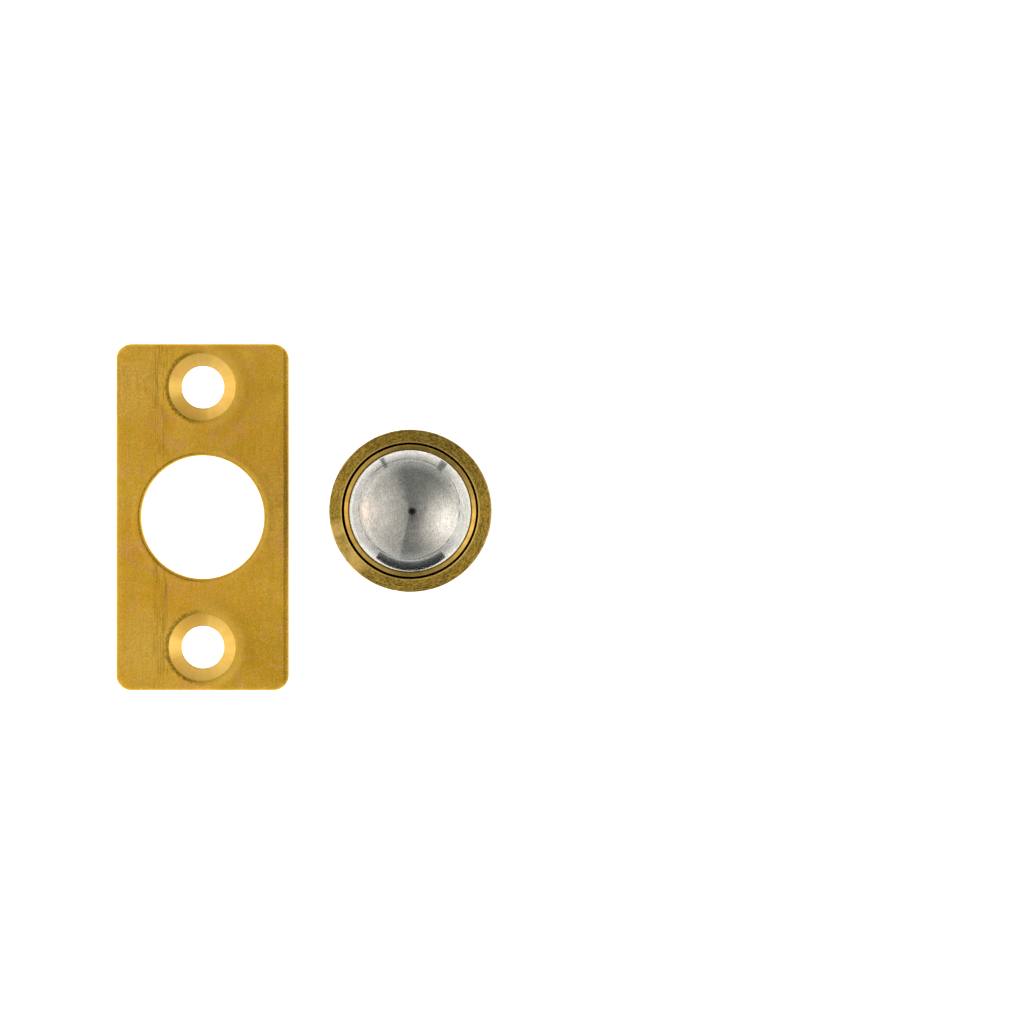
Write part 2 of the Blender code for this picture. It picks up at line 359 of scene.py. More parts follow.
def polished_steel():
    """The ball: polished steel with fine wiping lines, handling scratches, specks and a faint haze."""
    m, s = new_material("polished_steel")
    p = s.place()
    grain = s.noise(p, scale=7.5, detail=3.0, rough=0.85)
    mottle = s.noise(p, scale=1.1, detail=4.0, rough=0.6)
    hair = s.noise(s.vec("MULTIPLY", p, (12.0, 1.2, 12.0)), scale=1.0, detail=3.0, rough=0.7)
    tone = s.math("ADD", s.math("MULTIPLY", grain, 0.48), s.math("MULTIPLY", mottle, 0.14))
    tone = s.span(s.math("ADD", tone, s.math("MULTIPLY", hair, 0.38)), 0.41, 0.59, smooth=False)
    colour = s.mix(tone, (0.355, 0.348, 0.323), (0.73, 0.72, 0.675))
    scratches = None
    for angles, scale, low in (
        ((0.3, 1.1, 0.2), (0.35, 9.0, 9.0), 0.655),
        ((1.2, 0.4, 1.9), (0.30, 11.0, 11.0), 0.665),
        ((2.0, 2.3, 0.7), (0.45, 13.0, 13.0), 0.675),
    ):
        turn = s.node("ShaderNodeMapping")
        s.put(turn.inputs["Vector"], p)
        turn.inputs["Rotation"].default_value = angles
        turn.inputs["Scale"].default_value = scale
        line = s.span(s.noise(turn.outputs[0], scale=1.0, detail=1.0), low, low + 0.03)
        scratches = line if scratches is None else s.math("MAXIMUM", scratches, line)
    specks = s.math("SUBTRACT", 1.0, s.span(s.cells(p, scale=1.6), 0.040, 0.085))
    gate = s.span(s.noise(p, scale=0.9, detail=1.0), 0.47, 0.55)
    specks = s.math("MULTIPLY", specks, gate)
    dots = s.math("SUBTRACT", 1.0, s.span(s.cells(s.vec("ADD", p, (7, 3, 5)), scale=3.1), 0.05, 0.12))
    dots = s.math("MULTIPLY", dots, s.span(s.noise(s.vec("ADD", p, (2, 9, 4)), scale=1.2, detail=1.0), 0.50, 0.60))
    colour = s.mix(s.math("MULTIPLY", specks, 0.65), colour, (0.10, 0.085, 0.07))
    colour = s.mix(s.math("MULTIPLY", dots, 0.40), colour, (0.24, 0.22, 0.19))
    colour = s.mix(s.math("MULTIPLY", scratches, 0.35), colour, (0.42, 0.41, 0.38))
    # painted reflection: a thin, uneven dark ring round the top of the ball, where the horizon line is mirrored
    d = s.vec("NORMALIZE", s.vec("SUBTRACT", p, (0.0, 0.0, BALL_Z)))
    height = s.vec("DOT_PRODUCT", d, tuple(Vector((-0.012, 0.042, 1.0)).normalized()))
    wander = s.noise(d, scale=5.0, detail=3.0, rough=0.6)
    height = s.math("ADD", height, s.math("MULTIPLY", s.math("SUBTRACT", wander, 0.5), 0.034))
    off = s.math("ABSOLUTE", s.math("SUBTRACT", height, 0.685))
    uneven = s.span(s.noise(d, scale=3.4, detail=4.0, rough=0.8), 0.42, 0.58)
    painted_light_mark = s.math("MULTIPLY", s.span(off, 0.0115, 0.0045), s.math("ADD", 0.12, s.math("MULTIPLY", uneven, 0.88)))
    colour = s.mix(s.math("MULTIPLY", painted_light_mark, 0.72), colour, (0.13, 0.115, 0.105))
    rough = s.span(grain, 0.3, 0.75, 0.050, 0.125)
    rough = s.math("ADD", rough, s.math("MULTIPLY", scratches, 0.12))
    height = s.math("SUBTRACT", s.math("MULTIPLY", grain, 0.45), s.math("MULTIPLY", scratches, 0.5))
    height = s.math("ADD", height, s.math("MULTIPLY", hair, 0.30))
    height = s.math("SUBTRACT", height, specks)
    normal = s.bump(height, 0.30, 0.004 * MM)
    s.metal(colour, rough, normal)
    return m


def spring_steel():
    m, s = new_material("spring_steel")
    p = s.place()
    grain = s.noise(p, scale=7.0, detail=3.0)
    colour = s.mix(s.span(grain, 0.3, 0.7), (0.30, 0.30, 0.31), (0.52, 0.52, 0.53))
    rough = s.span(grain, 0.3, 0.7, 0.24, 0.40)
    s.metal(colour, rough, s.bump(grain, 0.3, 0.004 * MM))
    return m


def rolled_brass():
    """The strike plate: satin brass strip with rolling lines along its length, tarnish, and brighter cut cones."""
    m, s = new_material("rolled_brass")
    p = s.vec("SUBTRACT", s.place(), (PLATE[0], PLATE[1], 0.0))
    x, y, z = s.xyz(p)

    def along(across, length, detail, rough, shift=0.0):
        v = s.join(s.math("MULTIPLY_ADD", x, across, shift), s.math("MULTIPLY", y, length), z)
        return s.noise(v, scale=1.0, detail=detail, rough=rough)

    lines = along(9.0, 0.10, 4.0, 0.75)
    hair = along(24.0, 0.35, 2.0, 0.6)
    broad = along(1.6, 0.05, 3.0, 0.6, 7.0)
    grain = s.noise(p, scale=7.0, detail=4.0, rough=0.75)
    cloud = s.noise(p, scale=0.22, detail=4.0, rough=0.58, warp=0.8)
    tone = s.math("ADD", s.math("MULTIPLY", cloud, 0.38), s.math("MULTIPLY", lines, 0.22))
    tone = s.math("ADD", tone, s.math("MULTIPLY", grain, 0.26))
    tone = s.math("ADD", tone, s.math("MULTIPLY", broad, 0.14))
    colour = s.mix(s.span(tone, 0.38, 0.62, smooth=False), (0.93, 0.515, 0.030), (1.0, 0.725, 0.120))
    # a little duller at the lower right and upper right, and brighter by the hole and along the left
    matt = None
    for at, reach, colour_to, amount in (
        ((6.4, -13.0), 6.0, (0.66, 0.420, 0.028), 0.60),
        ((5.6, 13.2), 4.5, (0.74, 0.465, 0.032), 0.40),
        ((7.6, 0.5), 5.5, (1.0, 0.775, 0.190), 0.85),
        ((-6.6, 13.0), 5.0, (1.0, 0.785, 0.205), 0.80),
        ((-5.2, -12.5), 4.5, (1.0, 0.750, 0.170), 0.60),
    ):
        away = s.vec("DISTANCE", s.join(x, y, 0.0), (*at, 0.0))
        away = s.math("ADD", away, s.math("MULTIPLY", s.math("SUBTRACT", cloud, 0.5), 7.0))
        area = s.math("MULTIPLY", s.span(away, reach, reach * 0.25), amount)
        colour = s.mix(area, colour, colour_to)
        if amount >= 0.80:
            matt = area if matt is None else s.math("MAXIMUM", matt, area)
    # tarnish: rosy, olive and orange patches
    rosy = s.span(s.noise(s.vec("ADD", p, (31, 7, 0)), scale=0.42, detail=4.0, rough=0.6, warp=1.2), 0.52, 0.66)
    colour = s.mix(s.math("MULTIPLY", rosy, 0.55), colour, (0.97, 0.565, 0.23))
    olive = s.span(s.noise(s.vec("ADD", p, (5, 71, 0)), scale=0.36, detail=4.0, rough=0.6, warp=1.4), 0.52, 0.67)
    colour = s.mix(s.math("MULTIPLY", olive, 0.55), colour, (0.80, 0.585, 0.020))
    orange = s.span(s.noise(s.vec("ADD", p, (44, 12, 0)), scale=0.9, detail=3.0, rough=0.6), 0.60, 0.70)
    colour = s.mix(s.math("MULTIPLY", orange, 0.50), colour, (0.95, 0.465, 0.020))
    grit = s.span(s.noise(s.vec("ADD", p, (9, 9, 9)), scale=6.5, detail=2.0, rough=0.8), 0.36, 0.64, smooth=False)
    colour = s.mix(s.math("MULTIPLY", grit, 0.55), colour, (0.72, 0.385, 0.013))
    glint = s.span(s.noise(s.vec("ADD", p, (19, 4, 8)), scale=6.5, detail=2.0, rough=0.8), 0.52, 0.70, smooth=False)
    colour = s.mix(s.math("MULTIPLY", glint, 0.65), colour, (1.0, 0.82, 0.25))
    # rolling marks: a band of darker lines left of the middle, and a few strong ones in it
    band = s.math("MULTIPLY", s.span(x, -5.0, -4.3), s.span(x, -3.0, -3.6))
    marks = s.math("MULTIPLY", s.span(hair, 0.49, 0.57), s.math("ADD", 0.22, s.math("MULTIPLY", band, 0.78)))
    broken = s.span(along(1.0, 0.5, 2.0, 0.5), 0.38, 0.58)
    marks = s.math("MULTIPLY", marks, broken)
    for at, wide, depth in ((-4.45, 0.045, 0.75), (-4.25, 0.035, 0.6), (-3.70, 0.055, 0.8), (2.9, 0.03, 0.35), (5.6, 0.03, 0.3)):
        off = s.math("ABSOLUTE", s.math("SUBTRACT", x, at))
        line = s.math("MULTIPLY", s.span(off, wide, wide * 0.4), depth)
        line = s.math("MULTIPLY", line, s.span(along(0.6, 0.55, 3.0, 0.7, at * 9), 0.36, 0.60))
        marks = s.math("MAXIMUM", marks, line)
    marks = s.math("MULTIPLY", marks, s.span(z, 1.02, 1.12))
    colour = s.mix(s.math("MULTIPLY", marks, 0.70), colour, (0.42, 0.24, 0.025))
    # partly painted shade and partly the press's rough burr: dark speckled rings on the left side of the strike hole
    # and the countersinks, and a dark band along the right edge
    d_hole = s.vec("DISTANCE", s.join(x, y, 0.0), (0.0, 0.0, 0.0))
    d_sink = s.math("MINIMUM", s.vec("DISTANCE", s.join(x, y, 0.0), (0.0, SCREW_Y, 0.0)), s.vec("DISTANCE", s.join(x, y, 0.0), (0.0, -SCREW_Y, 0.0)))
    speckle = s.span(s.noise(p, scale=8.5, detail=2.0, rough=0.7), 0.42, 0.60)
    upper = s.span(z, 0.80, 1.10)
    ragged = s.math("ADD", d_sink, s.math("MULTIPLY", s.math("SUBTRACT", s.noise(s.vec("ADD", p, (3, 1, 2)), scale=3.2, detail=3.0, rough=0.7), 0.5), 0.75))
    halo = s.math("MULTIPLY", s.span(d_sink, SINK_R + 0.04, SINK_R + 0.10), s.span(ragged, SINK_R + 0.50, SINK_R + 0.26))
    halo = s.math("MULTIPLY", halo, s.span(x, 0.6, -1.8, 0.12, 1.0))
    rim = s.math("MULTIPLY", s.span(d_hole, STRIKE_R + 0.12, STRIKE_R + 0.18), s.span(d_hole, STRIKE_R + 0.34, STRIKE_R + 0.24))
    rim = s.math("MULTIPLY", rim, s.span(x, 1.0, -2.0, 0.15, 1.0))
    right = s.math("MULTIPLY", s.span(x, 7.68, 7.76), 0.75)
    painted_light_mark = s.math("MAXIMUM", s.math("MAXIMUM", halo, rim), right)
    painted_light_mark = s.math("MULTIPLY", s.math("MULTIPLY", painted_light_mark, upper), s.math("ADD", 0.35, s.math("MULTIPLY", speckle, 0.65)))
    colour = s.mix(s.math("MULTIPLY", painted_light_mark, 0.88), colour, (0.22, 0.138, 0.020))
    # painted highlight on the right of the countersinks and the hole, and painted shade beyond it
    near = s.math("MULTIPLY", s.span(d_sink, SINK_R + 0.05, SINK_R + 0.20), s.span(d_sink, SINK_R + 1.10, SINK_R + 0.40))
    near_hole = s.math("MULTIPLY", s.span(d_hole, STRIKE_R + 0.15, STRIKE_R + 0.30), s.span(d_hole, STRIKE_R + 0.70, STRIKE_R + 0.35))
    painted_highlight = s.math("MULTIPLY", s.math("MAXIMUM", near, near_hole), s.span(x, -0.6, 2.0))
    painted_highlight = s.math("MULTIPLY", painted_highlight, upper)
    colour = s.mix(s.math("MULTIPLY", painted_highlight, 0.42), colour, (1.0, 0.74, 0.16))
    far = s.math("MULTIPLY", s.span(d_sink, SINK_R + 0.70, SINK_R + 1.20), s.span(d_sink, SINK_R + 2.10, SINK_R + 1.40))
    far = s.math("MULTIPLY", s.math("MULTIPLY", far, s.span(x, -0.5, 2.0)), upper)
    colour = s.mix(s.math("MULTIPLY", far, 0.22), colour, (0.60, 0.40, 0.03))
    # partly painted shade and partly a rough sheared edge: the left edge painted darker, speckled
    sheared_edge_shade = s.math("MULTIPLY", s.span(x, -7.80, -7.95), s.span(speckle, 0.0, 1.0, 0.45, 1.0))
    colour = s.mix(s.math("MULTIPLY", sheared_edge_shade, 0.55), colour, (0.52, 0.320, 0.035))
    # the cut cones are clean
    slope = s.math("ADD", s.math("SUBTRACT", d_sink, SINK_R), s.math("SUBTRACT", 1.17, z))
    cone = s.math("MULTIPLY", s.span(slope, 0.08, 0.04), s.span(z, 1.20, 1.17))
    turned = s.noise(s.vec("SCALE", s.vec("NORMALIZE", s.join(x, s.math("SUBTRACT", s.math("ABSOLUTE", y), SCREW_Y), 0.0)), scale=5.0), detail=3.0)
    colour = s.mix(s.math("MULTIPLY", cone, 0.85), colour, s.mix(s.span(turned, 0.30, 0.70), (0.92, 0.622, 0.150), (0.98, 0.700, 0.225)))
    # painted shade: the lower left of each cone is painted darker
    low = s.vec("DOT_PRODUCT", s.vec("NORMALIZE", s.join(x, s.math("SUBTRACT", s.math("ABSOLUTE", y), SCREW_Y), 0.0)), (-0.56, -0.83, 0.0))
    colour = s.mix(s.math("MULTIPLY", s.math("MULTIPLY", cone, s.span(low, 0.60, 0.95)), 0.60), colour, (0.62, 0.375, 0.050))
    rough = s.span(s.math("ADD", s.math("MULTIPLY", lines, 0.5), s.math("MULTIPLY", grain, 0.5)), 0.3, 0.7, 0.60, 0.78)
    rough = s.math("ADD", rough, s.math("MULTIPLY", matt, 0.16))
    rough = s.math("ADD", rough, s.math("MULTIPLY", cone, -0.26))
    height = s.math("ADD", s.math("MULTIPLY", lines, 0.6), s.math("MULTIPLY", hair, 0.35))
    height = s.math("ADD", height, s.math("MULTIPLY", grain, 0.6))
    height = s.math("SUBTRACT", height, s.math("MULTIPLY", marks, 0.8))
    # punching and countersinking have raised the metal a little round the holes
    ridge = s.math("MULTIPLY", s.span(d_sink, SINK_R + 0.02, SINK_R + 0.26), s.span(d_sink, SINK_R + 0.95, SINK_R + 0.30))
    ridge = s.math("ADD", ridge, s.math("MULTIPLY", s.math("MULTIPLY", s.span(d_hole, STRIKE_R + 0.15, STRIKE_R + 0.40), s.span(d_hole, STRIKE_R + 1.00, STRIKE_R + 0.45)), 0.8))
    normal = s.bump(s.math("MULTIPLY", ridge, upper), 1.0, 0.075 * MM)
    normal = s.bump(height, 0.8, 0.009 * MM, normal)
    s.metal(colour, rough, normal)
    return m


# ---- pieces ---------------------------------------------------------------------------------------------------
def sphere_r(radius, z):
    return math.sqrt(max(0.0, radius * radius - (z - BALL_Z) ** 2))


def capsule_outer(z):
    t = min(max((z - FACE_Z + 1.35) / 1.35, 0.0), 1.0)
    return sphere_r(CAPSULE_IN + WALL + (NECK - WALL) * t * t * (3 - 2 * t), z)


def make_barrel(material):
    mouth_z = FACE_Z - MOUTH_EDGE
    mouth_r = capsule_outer(mouth_z) + MOUTH_GAP
    round_x = FLANGE_R - ROUND
    profile = arc(round_x, FACE_Z - (round_x - mouth_r) * FALL - ROUND, ROUND, 76, 0, 12)
    profile += arc(FLANGE_R - 0.05, UNDER_Z + 0.05, 0.05, 0, -90, 4)
    profile += [(BARREL_R + 0.03, UNDER_Z), (BARREL_R, UNDER_Z - 0.03), (BARREL_R, UNDER_Z - 0.35)]
    n = 40
    cx, cz = CAPSULE_R - CAPSULE_CORNER, CAPSULE_CORNER
    for i in range(1, n):
        profile.append((BARREL_R, UNDER_Z - 0.35 + (cz - UNDER_Z + 0.35) * i / n))
    outer, inner = BARREL_R - cx, CAPSULE_R + BORE_GAP - cx
    end = math.degrees(math.asin((cz - 0.30) / outer))
    profile += arc(cx, cz, outer, 0, -end, 14)
    profile += arc(cx, cz, inner, -end, 0, 10)
    steps = 28
    for i in range(steps + 1):
        t = i / steps
        z = BALL_Z + (mouth_z - BALL_Z) * t
        profile.append((capsule_outer(z) + BORE_GAP + (MOUTH_GAP - BORE_GAP) * t * t, z))
    profile += [(mouth_r + 0.010, FACE_Z - 0.026), (mouth_r + 0.028, FACE_Z - 0.010), (mouth_r + 0.055, FACE_Z - 0.004)]
    for r in (0.10, 0.25, 0.45, 0.65, 0.85, 1.0):
        profile.append((mouth_r + r, FACE_Z - r * FALL))

    def ripple(r, z, a):
        if r > FLANGE_R - 0.25 and z > UNDER_Z - 0.01:
            d = Vector((math.cos(a) * 3, math.sin(a) * 3, z * 0.4))
            w = noise.noise(d * 1.7) * 0.5 + noise.noise(d * 6) * 0.3
            nick = max(0.0, noise.noise(d * 9 + Vector((9, 4, 2))) - 0.32) * 0.16
            return r - 0.010 - 0.012 * w - nick * (r > FLANGE_R - 0.15), z
        if r < mouth_r + 0.12 and z > FACE_Z - 0.60:
            ease = min(1.0, (z - FACE_Z + 0.60) / 0.40)
            w = 0.004 * noise.noise(Vector((math.cos(a) * 9, math.sin(a) * 9, 4.0)))
            return r - 0.026 * ease * math.cos(a) + w * ease, z
        return r, z

    bm = lathe(profile, True, ripple=ripple)
    return finish_mesh("barrel_turned", bm, "root", "outer_barrel", material)


def make_capsule(material):
    inner_r = CAPSULE_CORNER - WALL
    profile = [(0.0, WALL)]
    profile += [(r, WALL) for r in (1.5, 3.0, 4.5)]
    profile += arc(CAPSULE_IN - inner_r, WALL + inner_r, inner_r, -90, 0, 10)
    steps = 28
    edge_z = LIP_Z - 0.04
    for i in range(steps + 1):
        z = BALL_Z + (edge_z - BALL_Z) * i / steps
        profile.append((sphere_r(CAPSULE_IN - 0.025 * (i / steps) ** 4, z), z))
    crest = sphere_r(CAPSULE_IN, edge_z) + 0.04
    # the rolled lip: a small round crest, a polished face that falls outwards, and a rounded outer edge
    profile += [(crest - 0.050, LIP_Z - 0.018), (crest - 0.030, LIP_Z - 0.006), (crest, LIP_Z - 0.003)]
    for i in range(1, 10):
        t = i / 10
        profile.append((crest + LIP_OUT * t, LIP_Z - 0.004 - (LIP_DROP - 0.004) * (0.90 * t + 0.10 * t * t)))
    end_r, end_z = crest + LIP_OUT, LIP_Z - LIP_DROP
    profile += [(end_r, end_z), (end_r + 0.012, end_z - 0.018), (end_r + 0.018, end_z - 0.045)]
    for i in range(steps + 1):
        z = FACE_Z + 0.20 + (BALL_Z - FACE_Z - 0.20) * i / steps
        profile.append((capsule_outer(z), z))
    profile += [(CAPSULE_R, BALL_Z + (CAPSULE_CORNER - BALL_Z) * i / 12) for i in range(1, 12)]
    profile += arc(CAPSULE_R - CAPSULE_CORNER, CAPSULE_CORNER, CAPSULE_CORNER, 0, -90, 16)
    profile += [(r, 0.0) for r in (4.0, 2.5, 1.0)]
    profile.append((0.0, 0.0))

    def ripple(r, z, a):
        if z > LIP_Z - 0.30:
            d = Vector((math.cos(a) * 2.2, math.sin(a) * 2.2, 1.0))
            w = noise.noise(d) * 0.012 + noise.noise(d * 4) * 0.004
            return r + max(-0.005, min(0.02, w)), z
        return r, z

    bm = lathe(profile, False, ripple=ripple)
    return finish_mesh("capsule_drawn", bm, "root", "ball_capsule", material)


def make_ball(material):
    bm = bmesh.new()
    bmesh.ops.create_uvsphere(bm, u_segments=224, v_segments=112, radius=BALL_R * MM)
    bmesh.ops.transform(
        bm, matrix=Matrix.Translation((0, 0, BALL_Z * MM)) @ Matrix.Rotation(math.radians(90), 4, "X"), verts=bm.verts
    )
    return finish_mesh("ball_polished", bm, "ball", "steel_ball", material)


def make_spring(material):
    """The coil as a fine mesh. It rides on the barrel."""
    wire, mean, turns, pitch = 0.40, 4.40, 6.0, 0.87
    low = WALL + wire + 0.05
    reach = BALL_R + wire + 0.05
    high = BALL_Z - math.sqrt(reach * reach - mean * mean)
    open_pitch = (high - low - 2 * pitch) / (turns - 2)
    bm = bmesh.new()
    count, sides = int(turns * 48) + 1, 20
    rings = []
    for i in range(count):
        t = turns * i / (count - 1)
        if t < 1:
            h = pitch * t
        elif t > turns - 1:
            h = high - low - pitch * (turns - t)
        else:
            h = pitch + open_pitch * (t - 1)
        a = math.tau * t
        c = Vector((mean * math.cos(a), mean * math.sin(a), low + h))
        out, up = Vector((math.cos(a), math.sin(a), 0)), Vector((0, 0, 1))
        rings.append(
            [
                bm.verts.new(
                    (c + (out * math.cos(math.tau * k / sides) + up * math.sin(math.tau * k / sides)) * wire) * MM
                )
                for k in range(sides)
            ]
        )
    for a, b in zip(rings, rings[1:]):
        for k in range(sides):
            bm.faces.new((a[k], a[(k + 1) % sides], b[(k + 1) % sides], b[k]))
    bm.faces.new(rings[0])
    bm.faces.new(list(reversed(rings[-1])))
    obj = finish_mesh("spring_coil", bm, "root", "spring", material)
    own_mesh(obj)
    return obj


def outline(inset, z, per_corner=20, along=26):
    """The plate's outline, inset, as points running anticlockwise."""
    w, l, r = PLATE_W / 2 - inset, PLATE_L / 2 - inset, max(CORNER_R - inset, 0.05)
    points = []
    corners = ((w - r, l - r, 0), (-w + r, l - r, 90), (-w + r, -l + r, 180), (w - r, -l + r, 270))
    for i, (cx, cy, start) in enumerate(corners):
        for k in range(per_corner + 1):
            a = math.radians(start + 90 * k / per_corner)
            points.append((cx + r * math.cos(a), cy + r * math.sin(a), z))
        nx, ny, ns = corners[(i + 1) % 4]
        a = math.radians(ns)
        to = (nx + r * math.cos(a), ny + r * math.sin(a))
        last = points[-1]
        for k in range(1, along):
            t = k / along
            points.append((last[0] + (to[0] - last[0]) * t, last[1] + (to[1] - last[1]) * t, z))
    return points


def circle(cy, r, z, n=160):
    return [(r * math.cos(math.tau * k / n), cy + r * math.sin(math.tau * k / n), z) for k in range(n)]


def make_plate(material):
    bm = bmesh.new()
    T = PLATE_T

    def ring(points):
        return [bm.verts.new((PLATE[0] * MM + x * MM, PLATE[1] * MM + y * MM, z * MM)) for x, y, z in points]

    def skirt(loops):
        for a, b in zip(loops, loops[1:]):
            n = len(a)
            for k in range(n):
                bm.faces.new((a[k], a[(k + 1) % n], b[(k + 1) % n], b[k]))

    # outer edge: a soft roll above, a straight sheared wall, a small broken edge below
    roll_w, roll_h = 0.50, 0.36
    outer = []
    for k in range(13):
        a = math.radians(90 * k / 12)
        outer.append(ring(outline(roll_w * (1 - math.sin(a)), T - roll_h * (1 - math.cos(a)))))
    for z in (0.65, 0.45, 0.25, 0.08):
        outer.append(ring(outline(0.0, z)))
    outer.append(ring(outline(0.04, 0.0)))
    skirt(outer)

    holes = []
    # the strike hole
    w, h = 0.20, 0.12
    loops = []
    for k in range(7):
        a = math.radians(90 * k / 6)
        loops.append(ring(circle(0, STRIKE_R + w * (1 - math.sin(a)), T - h * (1 - math.cos(a)), 224)))
    for z in (0.8, 0.45, 0.06):
        loops.append(ring(circle(0, STRIKE_R, z, 224)))
    loops.append(ring(circle(0, STRIKE_R + 0.04, 0.0, 224)))
    skirt([list(reversed(l)) for l in loops])
    holes.append((loops[0], loops[-1]))
    # the screw holes
    for cy in (SCREW_Y, -SCREW_Y):
        depth = SINK_R - SCREW_R
        loops = [
            ring(circle(cy, SINK_R + 0.07, T)),
            ring(circle(cy, SINK_R + 0.025, T - 0.008)),
            ring(circle(cy, SINK_R, T - 0.03)),
        ]
        for k in range(1, 9):
            t = k / 8
            loops.append(ring(circle(cy, SINK_R - (depth - 0.02) * t, T - 0.03 - (depth - 0.03) * t)))
        loops.append(ring(circle(cy, SCREW_R, T - depth - 0.01)))
        loops.append(ring(circle(cy, SCREW_R, 0.03)))
        loops.append(ring(circle(cy, SCREW_R + 0.03, 0.0)))
        skirt([list(reversed(l)) for l in loops])
        holes.append((loops[0], loops[-1]))

    def cap(edge, inner, spacing, z, wave):
        """Fill between the outline and the holes, with points of its own so that the face can be very slightly wavy."""
        verts = list(edge)
        for l in inner:
            verts += l
        flat = [Vector(((v.co.x / MM) - PLATE[0], (v.co.y / MM) - PLATE[1])) for v in verts]
        faces, at = [], 0
        for l in [edge] + inner:
            faces.append(list(range(at, at + len(l))))
            at += len(l)
        extra = []
        if spacing:
            nx, ny = int(PLATE_W / spacing), int(PLATE_L / spacing)
            for i in range(1, nx):
                for j in range(1, ny):
                    x = -PLATE_W / 2 + PLATE_W * (i + (j % 2) * 0.5 - 0.25) / nx
                    y = -PLATE_L / 2 + PLATE_L * j / ny
                    if abs(x) > PLATE_W / 2 - 0.75 or abs(y) > PLATE_L / 2 - 0.75:
                        continue
                    if math.hypot(abs(x) - PLATE_W / 2 + CORNER_R, abs(y) - PLATE_L / 2 + CORNER_R) > CORNER_R - 0.7 and abs(x) > PLATE_W / 2 - CORNER_R and abs(y) > PLATE_L / 2 - CORNER_R:
                        continue
                    if math.hypot(x, y) < STRIKE_R + 0.42:
                        continue
                    if min(math.hypot(x, y - SCREW_Y), math.hypot(x, y + SCREW_Y)) < SINK_R + 0.3:
                        continue
                    extra.append(Vector((x, y)))
        edges = []
        for f in faces:
            edges += [(f[k], f[(k + 1) % len(f)]) for k in range(len(f))]
        pts = flat + extra
        out = delaunay_2d_cdt(pts, edges, [], 0, 1e-7)
        co, tris, orig = out[0], out[2], out[3]
        new = []
        for k, c in enumerate(co):
            src = orig[k][0] if orig[k] else None
            if src is not None and src < len(verts):
                new.append(verts[src])
                continue
            d = min(
                PLATE_W / 2 - abs(c.x), PLATE_L / 2 - abs(c.y), math.hypot(c.x, c.y) - STRIKE_R,
                math.hypot(c.x, c.y - SCREW_Y) - SINK_R, math.hypot(c.x, c.y + SCREW_Y) - SINK_R,
            )
            ease = min(1.0, max(0.0, (d - 0.4) / 1.2))
            dz = -wave * ease * (0.5 + 0.5 * noise.noise(Vector((c.x * 0.35, c.y * 0.22, 3.1))))
            new.append(bm.verts.new((c.x * MM + PLATE[0] * MM, c.y * MM + PLATE[1] * MM, z * MM + dz * MM)))
        for t in tris:
            mid = sum((co[k] for k in t), Vector((0, 0))) / len(t)
            if math.hypot(mid.x, mid.y) < STRIKE_R or min(
                math.hypot(mid.x, mid.y - SCREW_Y), math.hypot(mid.x, mid.y + SCREW_Y)
            ) < SCREW_R + 0.01:
                continue
            if any(
                math.hypot(mid.x, mid.y - cy) < r0
                for cy, r0 in ((0, inner_r[0]), (SCREW_Y, inner_r[1]), (-SCREW_Y, inner_r[1]))
            ):
                continue
            try:
                bm.faces.new([new[k] for k in t])
            except ValueError:
                pass

    inner_r = (STRIKE_R + 0.199, SINK_R + 0.069)
    cap(outer[0], [h[0] for h in holes], 0.55, T, 0.012)
    inner_r = (STRIKE_R + 0.039, SCREW_R + 0.029)
    cap(outer[-1], [h[1] for h in holes], 0, 0.0, 0.0)
    return finish_mesh("strike_stamped", bm, "root", "strike_plate", material)


# ---- stage ----------------------------------------------------------------------------------------------------
def emitter(name, points, colour, strength, ramp=None):
    """A flat card that only shows in reflections. ramp gives its strength by the distance from the axis."""
    mesh = bpy.data.meshes.new(name)
    mesh.from_pydata([tuple(c * MM for c in p) for p in points], [], [tuple(range(len(points)))])
    obj = bpy.data.objects.new(name, mesh)
    bpy.context.scene.collection.objects.link(obj)
    m, s = new_material(name)
    e = s.node("ShaderNodeEmission")
    e.inputs["Color"].default_value = (*colour, 1.0)
    e.inputs["Strength"].default_value = strength * LIGHT
    if ramp:
        reach = s.vec("LENGTH", s.place())
        level = ramp[0][1]
        for (a, low), (b, high) in zip(ramp, ramp[1:]):
            level = s.math("ADD", level, s.span(reach, a, b, 0.0, high - low, smooth=False))
        s.put(e.inputs["Strength"], s.math("MULTIPLY", level, LIGHT))
    out = s.node("ShaderNodeOutputMaterial")
    s.put(out.inputs["Surface"], e.outputs[0])
    mesh.materials.append(m)
    obj.visible_camera = False
    obj.visible_diffuse = False
    obj.visible_shadow = False
    obj.visible_transmission = False
    obj.visible_volume_scatter = False
    return obj


